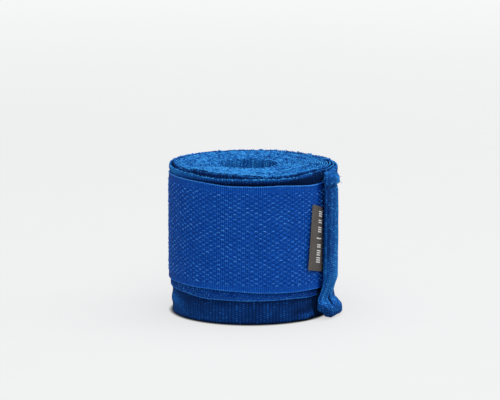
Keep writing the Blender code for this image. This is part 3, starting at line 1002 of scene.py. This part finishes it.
def hem_yarn(rim, e):
    """The cut yarns along the hem's top, and the few that have come loose."""
    at = np.arange(e[0] + 0.2, e[-1], 0.62)
    spots = np.stack([np.interp(at, e, rim[:, k]) for k in range(3)], axis=-1)
    degrees = np.degrees(np.arctan2(spots[:, 1] - AXIS_Y, spots[:, 0] - AXIS_X))
    rng = np.random.default_rng(33)
    along, outwards, up = on_roll(degrees)
    size = rng.uniform(0.75, 1.25, len(at))[:, None]
    lean = rng.normal(0, 0.16, (len(at), 3))
    half_axes = 0.27 * size * along, 0.27 * size * outwards, 0.46 * size * (up + lean)
    points, groups, per = lumps(spots + (0, 0, 0.02), *half_axes)
    # painted light from above: the cut yarns are as light as the hem's top
    tones = np.repeat(0.62 + rng.normal(0, 0.10, len(at)), per)

    share = np.linspace(0, 1, 12)
    t = share[:, None]
    tails = []
    for start, bend, end in (
        ((30.4, -9.6, 46.6), (31.2, -9.9, 46.9), (31.3, -10.3, 45.9)),
        ((26.2, -16.0, 47.6), (25.6, -16.8, 46.9), (25.5, -16.2, 45.4)),
        ((25.9, -15.9, 48.9), (24.9, -16.3, 48.4), (24.5, -15.8, 47.4)),
        ((28.6, -13.4, 49.6), (29.4, -13.6, 50.4), (30.0, -12.7, 50.5)),
        ((29.6, -12.0, 48.6), (30.6, -12.4, 49.0), (31.3, -11.9, 48.6)),
    ):
        p, q, r = (np.array(v) + (AXIS_X, AXIS_Y, 0.0) for v in (start, bend, end))
        tails.append(p * (1 - t) ** 2 + 2 * q * t * (1 - t) + r * t * t)
    points, groups = joined((points, groups), tubes(np.array(tails), 0.075 * (1 - 0.4 * share), 6))
    # the loose yarns are painted lighter still
    tones = np.concatenate([tones, np.full(len(points) - len(tones), 0.72)])
    return mesh_piece("end_hem_yarn", points, groups, yarn, points, tones)


# ---------------------------------------------------------------- hook and loop tapes


def tape_section(base, top, rows):
    """Heights and the share of full thickness, with a small bead along each selvage."""
    inset = np.array((0.0, 0.10, 0.30, 0.55))
    z = np.concatenate([base + inset, np.linspace(base + 0.9, top - 0.9, rows), top - inset[::-1]])
    share = np.ones(len(z))
    share[:3] = (0.35, 1.1875, 1.25)
    share[-3:] = share[2::-1]
    return z, share


def tape_sag(degrees, z):
    """Both edges of the tape sink a little as it comes to the hem. The upper one rises at the left."""
    sunk = -1.35 * eased((degrees + 125.0) / 75.0) - 0.15 * eased((degrees + 45.0) / 22.0)
    risen = 0.90 * window(degrees, -200.0, 25.0, -138.0, 40.0)
    drooped = -1.05 * eased((degrees + 72.0) / 35.0)
    return sunk * eased((40 - z) / 25.0) + (risen + drooped) * eased((z - 30.0) / 17.0)


def float_grid(u, z):
    """1 on each raised float of the tape's weave and -1 half way between."""
    return np.cos(math.pi * u / FLOAT_U) * np.cos(2 * math.pi * (z - HOOK_BASE - SELVAGE) / FLOAT_Z)


def hook_strip(name, start, end):
    """A length of the hook tape's base cloth."""
    columns = int(abs(end - start) * math.pi / 180 * HOOK_OUTER / (WARP / 6)) + 1
    degrees = np.linspace(start, end, columns)[:, None]
    run = -np.radians(degrees) * HOOK_OUTER
    z, share = tape_section(HOOK_BASE, HOOK_TOP, 120)
    from_edge = np.minimum(z - HOOK_BASE, HOOK_TOP - z)
    height = z + tape_sag(degrees, z) + 0.05 * wander(run, 6.0, 41)
    grid = float_grid(run, z) * eased((from_edge - 1.7) / 0.8)
    swell = 0.06 * patches(run + 50, z, 9.0, 9.0, 42)
    outside = HOOK_IN + TAPE * share + 0.055 * np.cos(2 * np.pi * run / WARP) + 0.05 * grid + swell
    rings, faces = ribbon(place(degrees, outside, height), place(degrees, HOOK_IN, height))
    # painted shade between the floats, and painted highlights along the selvage beads
    tone = 0.44 + 0.12 * grid + 0.38 * (1 - eased((from_edge - 0.14) / 0.30))
    # painted shade where the tape runs in under the hem
    tone = tone - 0.30 * eased((degrees + 36.5) / 5.0)
    cloth = on_cloth(run, rings[..., 2])
    return mesh_piece(name, rings, faces, nylon, cloth, there_and_back(tone, tone), sharp=50)


def floats(name, start, end):
    """The raised arches of the tape's outer face, in columns that step by half."""
    rng = np.random.default_rng(int(abs(start) * 10))
    low, high = -math.radians(start) * HOOK_OUTER, -math.radians(end) * HOOK_OUTER
    columns = np.arange(math.ceil(low / FLOAT_U), math.floor((high - 1e-6) / FLOAT_U) + 1)
    rows = np.arange(int((HOOK_TOP - HOOK_BASE - 2 * SELVAGE) / FLOAT_Z) + 1)
    column, row = (grid.ravel() for grid in np.meshgrid(columns, rows, indexing="ij"))
    count = len(column)
    u = column * FLOAT_U + rng.normal(0, 0.05, count)
    z = HOOK_BASE + SELVAGE + (row + 0.5 * (column % 2)) * FLOAT_Z + rng.normal(0, 0.05, count)
    wide = 0.60 * rng.uniform(0.75, 1.2, count)[:, None]
    arch = 0.34 * rng.uniform(0.5, 1.4, count)[:, None]
    tilt = rng.normal(0, 0.22, count)[:, None]
    proud = 0.10 * rng.uniform(0.5, 1.5, count)[:, None]
    steps, sides = 7, 6
    share = np.linspace(-1, 1, steps)
    angle = -np.degrees((u[:, None] + wide * share) / HOOK_OUTER)
    tall = z[:, None] + arch * (0.5 - share**2) + wide * share * tilt
    paths = place(angle, HOOK_IN + TAPE + proud * (1.3 - share**2), tall + tape_sag(angle, tall))
    # painted glints: each float is painted lighter than the tape's base cloth, a few far lighter
    bright = rng.uniform(0.0, 1.0, count) ** 1.6
    thick = 0.18 * rng.uniform(0.8, 1.15, count)[:, None] * (1 - 0.45 * share**4)
    points, groups = tubes(paths, thick, sides)
    tones = np.repeat(0.58 + 0.28 * bright, steps * sides)
    spread = np.repeat(u, steps * sides)
    cloth = on_cloth(spread + points[:, 0], points[:, 2], spread)
    return mesh_piece(name, points, groups, nylon, cloth, tones)


def hook_tape():
    """The hook tape in lengths that each span one hinge."""
    marks = [HOOK_FIRST + HOOK_STEP * (0.5 - i) for i in range(7)]  # half way between hinges
    edges = [HOOK_START, *marks[1:-1], HOOK_END]
    nodes = ["hook_tape_sewn_end"] + [f"hook_tape_{i}" for i in range(1, 7)]
    for i, (start, end) in enumerate(zip(edges, edges[1:])):
        before, after = marks[i : i + 2]
        cloth = hook_strip(f"hook_tape_cloth_{i + 1}", start, end)
        raised = floats(f"hook_tape_floats_{i + 1}", min(start, -25.0), end + (1.6 if i == 5 else 0.0))
        for piece in (cloth, raised):
            point(before, HOOK_OUTER)
            point(after, HOOK_OUTER)
            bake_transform(piece)
        stood_for = [nodes[i], nodes[i + 1]] if i == 0 else [nodes[i + 1]]
        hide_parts(*stood_for)


def loop_line(degrees):
    """Inner radius and length along the loop tape, from its end under the hem."""
    phi = (degrees - HEM_LEFT) % 360.0
    phi = np.where(degrees > HEM_LEFT, LAST_END, phi)
    _, radius = spiral(np.clip(phi, LAST_START, LAST_END - 1e-6))
    arc = np.concatenate([[0], np.cumsum(np.radians(np.abs(np.diff(degrees))) * radius[1:])])
    return radius + 0.24, arc


def loop_height(degrees, z):
    """The tape's own slight slant: lower as it comes to the hem, and a step where its pile starts."""
    step = 0.16 * (1 - eased((PILE_START - degrees) / 1.2)) * eased((14 - z) / 4.0)
    sunk = 0.90 * eased((degrees + 150.0) / 35.0) * eased((22.0 - z) / 12.0)
    return z - 0.4 * eased((degrees + 62) / 24) + step - sunk


def loop_tape():
    """The loop tape's base cloth and its standing pile."""
    degrees = np.linspace(LOOP_START, LOOP_END, 900)
    inside, arc = loop_line(degrees)
    degrees, inside, run = degrees[:, None], inside[:, None], arc[:, None]
    z, share = tape_section(LOOP_BASE, LOOP_TOP, 40)
    height = loop_height(degrees, z) + 0.07 * wander(run, 9.0, 51)
    edge = np.minimum(z - LOOP_BASE, LOOP_TOP - z)
    fluff = 0.06 * patches(run, z, 0.42, 0.42, 52) * eased((edge - 0.6) / 1.0)
    outer = place(degrees, inside + TAPE * share + fluff, height)
    rings, faces = ribbon(outer, place(degrees, inside, height))
    zz = rings[..., 2]
    from_edge = np.minimum(zz - zz[:, :1], zz.max(1, keepdims=True) - zz)
    # painted highlight along the selvages
    tone = 0.42 + 0.50 * (1 - eased((from_edge - 0.16) / 0.30)) + 0.05 * patches(run, zz, 1.2, 1.2, 53)
    # painted shade where the tape runs in under the hem
    tone -= 0.25 * eased((degrees + 50.0) / 12.0)
    base = mesh_piece("loop_tape_cloth", rings, faces, pile, on_cloth(run, zz), tone, sharp=50)
    return base, loop_pile()


def loop_pile():
    """The standing loops: small curls, fuller away from the hem and painted paler there, as painted light."""
    rng = np.random.default_rng(54)
    pitch = 0.80
    dense = np.linspace(LOOP_START - 1.0, LOOP_END + 1.0, 4000)
    inside, arc = loop_line(dense)
    rows = np.arange(LOOP_BASE + 0.7, LOOP_TOP - 0.6, pitch)
    run, z = (grid.ravel() for grid in np.meshgrid(np.arange(0.4, arc[-1], pitch), rows, indexing="ij"))
    run = np.clip(run + rng.uniform(-0.35, 0.35, len(run)), 0.1, arc[-1] - 0.1)
    z = z + rng.uniform(-0.3, 0.3, len(run))
    degrees = np.interp(run, arc, dense)
    radius = np.interp(run, arc, inside)
    full = 0.45 + 0.55 * eased((PILE_START - degrees) / 3.0)
    stand = (0.13 + 0.05 * full) * rng.uniform(0.7, 1.3, len(run))
    along, outwards, up = on_roll(degrees)
    turn = rng.uniform(0, math.pi, len(run))[:, None]
    lie = along * np.cos(turn) + up * np.sin(turn)
    cross = up * np.cos(turn) - along * np.sin(turn)
    centres = place(degrees, radius + 0.30, loop_height(degrees, z))
    size = rng.uniform(0.8, 1.2, len(run))[:, None]
    half_axes = 0.40 * size * lie, 0.20 * size * cross, stand[:, None] * outwards
    points, groups, per = lumps(centres, *half_axes, 6, (0.0, 0.7))
    # painted light: paler where the pile is full
    tone = 0.45 + 0.30 * full + 0.10 * patches(run, z, 2.2, 1.6, 55) + rng.normal(0, 0.09 + 0.06 * full)
    # painted shade where the tape runs in under the hem
    tone -= 0.25 * eased((degrees + 50.0) / 12.0)
    return mesh_piece("loop_tape_pile", points, groups, pile, points, np.repeat(tone, per))


# ---------------------------------------------------------------- label


def label_surface(u, v):
    """The label's middle surface: u from the seam to the free edge, v from its foot to its top."""
    free = -47.2 + 5.3 * v
    degrees = LABEL_SEAM + (free - LABEL_SEAM) * u
    lift = 0.10 + 0.55 * eased(u) * (0.6 + 0.4 * np.cos(3.0 * v)) - 0.18 * hill(u, 0.45, 0.3)
    foot, slant = LABEL_BASE - 0.75 * (1 - v), 1.3 + 0.5 * v + 0.55 * (1 - v)
    height = foot + (LABEL_TOP - LABEL_BASE - 1.3) * v + slant * u
    return degrees, HOOK_OUTER + 0.22 + lift, height


def label_marks():
    """Groups of light ticks with a longer bar between them, in place of print."""
    groups = ((0.920, 3), (0.785, 2), (0.675, 3), (0.405, 2), (0.315, 3), (0.205, 3))
    ticks = [(start - 0.033 * i, 0.34) for start, count in groups for i in range(count)]
    marks = []
    for middle, far in ticks + [(0.505, 0.42)]:
        us = np.linspace(0.05, far, 8) + 0.20 * (1 - middle)
        vs = np.linspace(middle - 0.0095, middle + 0.0095, 8)
        degrees, radius, height = label_surface(*np.meshgrid(us, vs, indexing="ij"))
        marks.append(ribbon(*(place(degrees, radius + proud, height) for proud in (0.125, 0.05))))
    points, faces = joined(*marks)
    return mesh_piece("size_label_marks", points, faces, label_white, points, 0.5, sharp=40)


def size_label():
    """The satin label, whose hinge lies beside the seam."""
    u, v = np.meshgrid(np.linspace(0, 1, 46), np.linspace(0, 1, 90), indexing="ij")
    degrees, radius, height = label_surface(u, v)
    half = 0.09 * np.minimum(1.0, 0.3 + 12 * np.minimum(v, 1 - v))
    rings, faces = ribbon(place(degrees, radius + half, height), place(degrees, radius - half, height))
    run, rise = u * LABEL_WIDE, v * LABEL_TALL
    edge = np.minimum(np.minimum(rise, LABEL_TALL - rise), LABEL_WIDE - run)
    # painted shadow along the seam, under the hem's edge; lighter along its other edges
    tone = 0.42 + 0.20 * (1 - eased(edge / 0.25)) - 0.45 * (1 - eased((u - 0.04) / 0.09))
    tone += 0.07 * patches(run, rise, 1.2, 2.0, 61)
    cloth, tone = on_cloth(there_and_back(run, run), rings[..., 2]), there_and_back(tone, tone)
    sheet = mesh_piece("size_label_satin", rings, faces, label_satin, cloth, tone, sharp=50)
    marking = label_marks()
    for piece in (sheet, marking):
        seam, free = point(HINGE_LABEL + 1.5, HOOK_OUTER), point(HINGE_LABEL - 1.5, HOOK_OUTER)
        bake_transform(piece)
    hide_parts("size_label")


# ---------------------------------------------------------------- stitches and loose threads


def stitches(name, starts, ends, proud, body, radius=0.15):
    """Short threads, each arched from one needle hole to the next."""
    share = np.linspace(0, 1, 9)[:, None]
    arch = np.sin(np.pi * share)
    paths = starts[:, None] * (1 - share) + ends[:, None] * share + proud[:, None] * arch
    points, groups = tubes(paths, radius * (0.55 + 0.45 * arch[:, 0]), 7)
    piece = mesh_piece(name, points, groups, thread, points, 0.42)
    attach(piece, body)
    return piece


def hem_stitches():
    """The row of stitches up the hem's left side, which holds the hook tape and the label."""
    zs = np.arange(13.4, 43.6, 1.25)
    at, proud = -27.2, 31.12
    out = place(at, 1.0, zs) - place(at, 0.0, zs)
    low, high = place(at, proud, zs + 0.12), place(at, proud, zs + 1.10)
    piece = stitches("hem_seam_stitches", low, high, out * 0.24, "root")
    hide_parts("hem_seam")


def loop_stitches():
    """A row of stitches just inside each selvage of the loop tape."""
    seam_radius = 27.3
    pitch, length = (math.degrees(size / seam_radius) for size in (1.9, 1.45))
    degrees = np.arange(LOOP_START - 6.0, LOOP_END + 2.0, -pitch)
    radius, _ = loop_line(degrees)
    parts = []
    for height in (LOOP_BASE + 1.0, LOOP_TOP - 1.0):
        level = loop_height(degrees, np.full(len(degrees), height))
        starts = place(degrees, radius + 0.36, level)
        ends = place(degrees - length, radius + 0.36, level)
        out = place(degrees, 1.0, height) - place(degrees, 0.0, height)
        parts.append((starts, ends, out * 0.10))
    both_rows = [np.concatenate(items) for items in zip(*parts)]
    piece = stitches("loop_tape_stitches", *both_rows, "root", 0.10)
    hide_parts("loop_tape_seam")
    return piece


# ---------------------------------------------------------------- thumb loop


def thumb_loop():
    """A narrow tape folded double, lying along the core's wall."""
    us = np.linspace(0, 1, 170)[:, None]
    degrees = THUMB_TACKED + THUMB_SPAN * us
    run = us * math.radians(THUMB_SPAN) * THUMB_RADIUS
    width = THUMB_TOP - THUMB_BASE
    edge = np.array((0.0, 0.12, 0.4))
    z = np.concatenate([edge, np.linspace(1.0, width - 1.0, 12), width - edge[::-1]])
    share = np.ones(len(z))
    share[[0, -1]], share[[1, -2]] = 0.3, 0.8
    fold_at = THUMB_RADIUS - 0.01
    layers, coords = [], []
    for layer in (0, 1):
        middle = 8.66 + 0.36 * layer + 0.03 * np.cos(4 * np.pi * run / RIB)
        middle = middle + (fold_at - middle) * 0.75 * eased((us - 0.93) / 0.07)
        height = THUMB_BASE + z + 0.12 * np.sin(5 * us + layer)
        faces = [place(degrees, middle + side * 0.155 * share, height, CORE) for side in (1, -1)]
        layers.append(ribbon(*faces))
        coords.append(on_cloth(run, layers[-1][0][..., 2]).reshape(-1, 3))
    up_the_fold = np.linspace(THUMB_BASE + 0.2, THUMB_TOP - 0.2, 12)
    fold = tubes(place(THUMB_TACKED + THUMB_SPAN, fold_at, up_the_fold, CORE)[None], 0.30, 10)
    points, groups = joined(*layers, fold)
    coords = np.concatenate([*coords, fold[0]])
    tones = np.full(len(points), 0.40)
    tones[-len(fold[0]) :] = 0.45
    piece = mesh_piece("thumb_loop_tape", points, groups, cotton, coords, tones, sharp=50)
    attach(piece, "thumb_loop")
    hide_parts("thumb_loop")


def thumb_loop_tack():
    """The bar of stitches that holds the thumb loop to the band's inner end."""
    middle = (THUMB_BASE + THUMB_TOP) / 2
    zs = np.linspace(middle - 5, middle + 4, 8)
    foot, head, radius = 57.5, 55.5, 8.9
    low, high = place(foot, radius, zs, CORE), place(head, radius, zs + 1.1, CORE)
    inward = place(57.0, 0.0, zs, CORE) - place(57.0, 1.0, zs, CORE)
    tack = stitches("thumb_loop_stitches", low, high, inward * 0.15, "root", 0.14)
    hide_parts("thumb_loop_tack")


# ---------------------------------------------------------------- assembly

turns = wound_turns()
turn_knots = wound_knots()
outer_turn, outer_knots = last_turn()
hem, loose_yarn = end_hem()
fibres = fuzz()
for part in (turns, turn_knots, outer_turn, outer_knots, hem, loose_yarn, fibres):
    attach(part, "root")
for part, node in ((turns, "wound_band"), (outer_turn, "band_last_turn"), (hem, "end_hem")):
    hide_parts(node)

loop_base, loops = loop_tape()
for part in (loop_base, loops):
    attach(part, "root")
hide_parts("loop_tape")
with_loops = [loops, loop_stitches()]
hook_tape()
size_label()
hem_stitches()
thumb_loop()
thumb_loop_tack()


# ---------------------------------------------------------------- floor, light and camera

FLOOR_NEAR, FLOOR_FAR = 0.63, 0.88  # how brightly the floor glows near the roll and far off
FLOOR_FADE = (0.25, 1.5)  # from near to far, in metres
CONTACT_SHADOW = (0.0268, 0.0286)  # a painted contact shadow: under the roll it doesn't glow, in metres from the axis
CAMERA_DISTANCE, CAMERA_ELEVATION, CAMERA_AIM = 1.170, 10.19, 0.0384


def floor():
    """A pale table, lit from within as well as from above, so that its shadows stay faint. Right under the
    roll its glow is cut, a painted contact shadow.
    """
    n = Nodes("pale_floor")
    position = n.add("ShaderNodeTexCoord").outputs["Object"]
    n.shade_to_base_colour(n.noise(position, 60.0, 2.0, 0.5), ((0.0, (0.164, 0.166, 0.168)), (1.0, (0.172, 0.174, 0.176))))
    n.shader.inputs["Roughness"].default_value = 0.9
    n.shader.inputs["Specular IOR Level"].default_value = 0.0
    n.shader.inputs["Emission Color"].default_value = (1.0, 1.0, 1.0, 1.0)

    def distance_from(x, y):
        """Metres from a spot on the floor."""
        offset = n.add("ShaderNodeVectorMath", operation="DISTANCE")
        n.link(position, offset.inputs[0])
        offset.inputs[1].default_value = (x, y, 0.0)
        return offset.outputs["Value"]

    glow = n.span(distance_from(0.0, 0.0), *FLOOR_FADE, FLOOR_NEAR, FLOOR_FAR)
    # painted contact shadow: no glow right under the roll
    outside_contact_shadow = n.span(distance_from(AXIS_X * MM, AXIS_Y * MM), *CONTACT_SHADOW, 0.0, 1.0)
    seen = n.total(0.45, (n.add("ShaderNodeLightPath").outputs["Is Camera Ray"], 0.55))
    strength = n.math("MULTIPLY", n.math("MULTIPLY", glow, seen), outside_contact_shadow)
    n.link(strength, n.shader.inputs["Emission Strength"])

    mesh = bpy.data.meshes.new("studio_floor")
    turn = np.linspace(0, 2 * math.pi, 96, endpoint=False)
    mesh.from_pydata([(6.0 * math.cos(a), 6.0 * math.sin(a), 0.0) for a in turn], [], [tuple(range(96))])
    mesh.materials.append(n.material)
    linked("studio_floor", mesh)


def facing(name, data, at, direction):
    """A light or a camera at a point, turned to face a direction."""
    obj = linked(name, data)
    obj.location = at
    obj.rotation_euler = direction.to_track_quat("-Z", "Y").to_euler()
    return obj


def softbox(name, at, aim, size, watts):
    """A soft rectangular light, of a size in metres."""
    data = bpy.data.lights.new(name, "AREA")
    data.shape = "RECTANGLE"
    data.size, data.size_y = size
    data.energy = watts
    facing(name, data, at, Vector(aim) - Vector(at))


def studio_air():
    """A pale surround: bright to look at, and a gentler fill on the object."""
    world = bpy.data.worlds.new("studio_air")
    bpy.context.scene.world = world
    world.use_nodes = True
    tree = world.node_tree
    seen = tree.nodes["Background"]
    seen.inputs["Color"].default_value = (0.905, 0.905, 0.90, 1.0)
    seen.inputs["Strength"].default_value = 1.0
    fill = tree.nodes.new("ShaderNodeBackground")
    fill.inputs["Color"].default_value = (0.97, 0.985, 1.0, 1.0)
    fill.inputs["Strength"].default_value = 0.40
    ray = tree.nodes.new("ShaderNodeLightPath")
    mix = tree.nodes.new("ShaderNodeMixShader")
    tree.links.new(ray.outputs["Is Camera Ray"], mix.inputs[0])
    tree.links.new(fill.outputs[0], mix.inputs[1])
    tree.links.new(seen.outputs[0], mix.inputs[2])
    tree.links.new(mix.outputs[0], tree.nodes["World Output"].inputs["Surface"])


def camera():
    """A long lens that looks slightly down on the roll from the front."""
    data = bpy.data.cameras.new("camera")
    data.lens, data.sensor_width = 244.0, 36.0
    data.clip_start, data.clip_end = 0.05, 60.0
    elevation = math.radians(CAMERA_ELEVATION)
    back = Vector((0.0, -math.cos(elevation), math.sin(elevation)))
    at = Vector((AXIS_X * MM, AXIS_Y * MM, CAMERA_AIM)) + back * CAMERA_DISTANCE
    bpy.context.scene.camera = facing("camera", data, at, -back)


floor()
studio_air()
softbox("overhead_softbox", (0.12, 0.05, 1.10), (0.0, 0.05, 0.02), (1.5, 1.5), 16.0)
softbox("front_softbox", (0.05, -1.00, 0.95), (0.0, 0.0, 0.03), (1.0, 0.6), 7.0)
softbox("right_softbox", (0.95, 0.10, 0.45), (0.0, 0.0, 0.03), (0.5, 0.6), 1.8)
camera()
bpy.context.scene.view_settings.view_transform = "Standard"
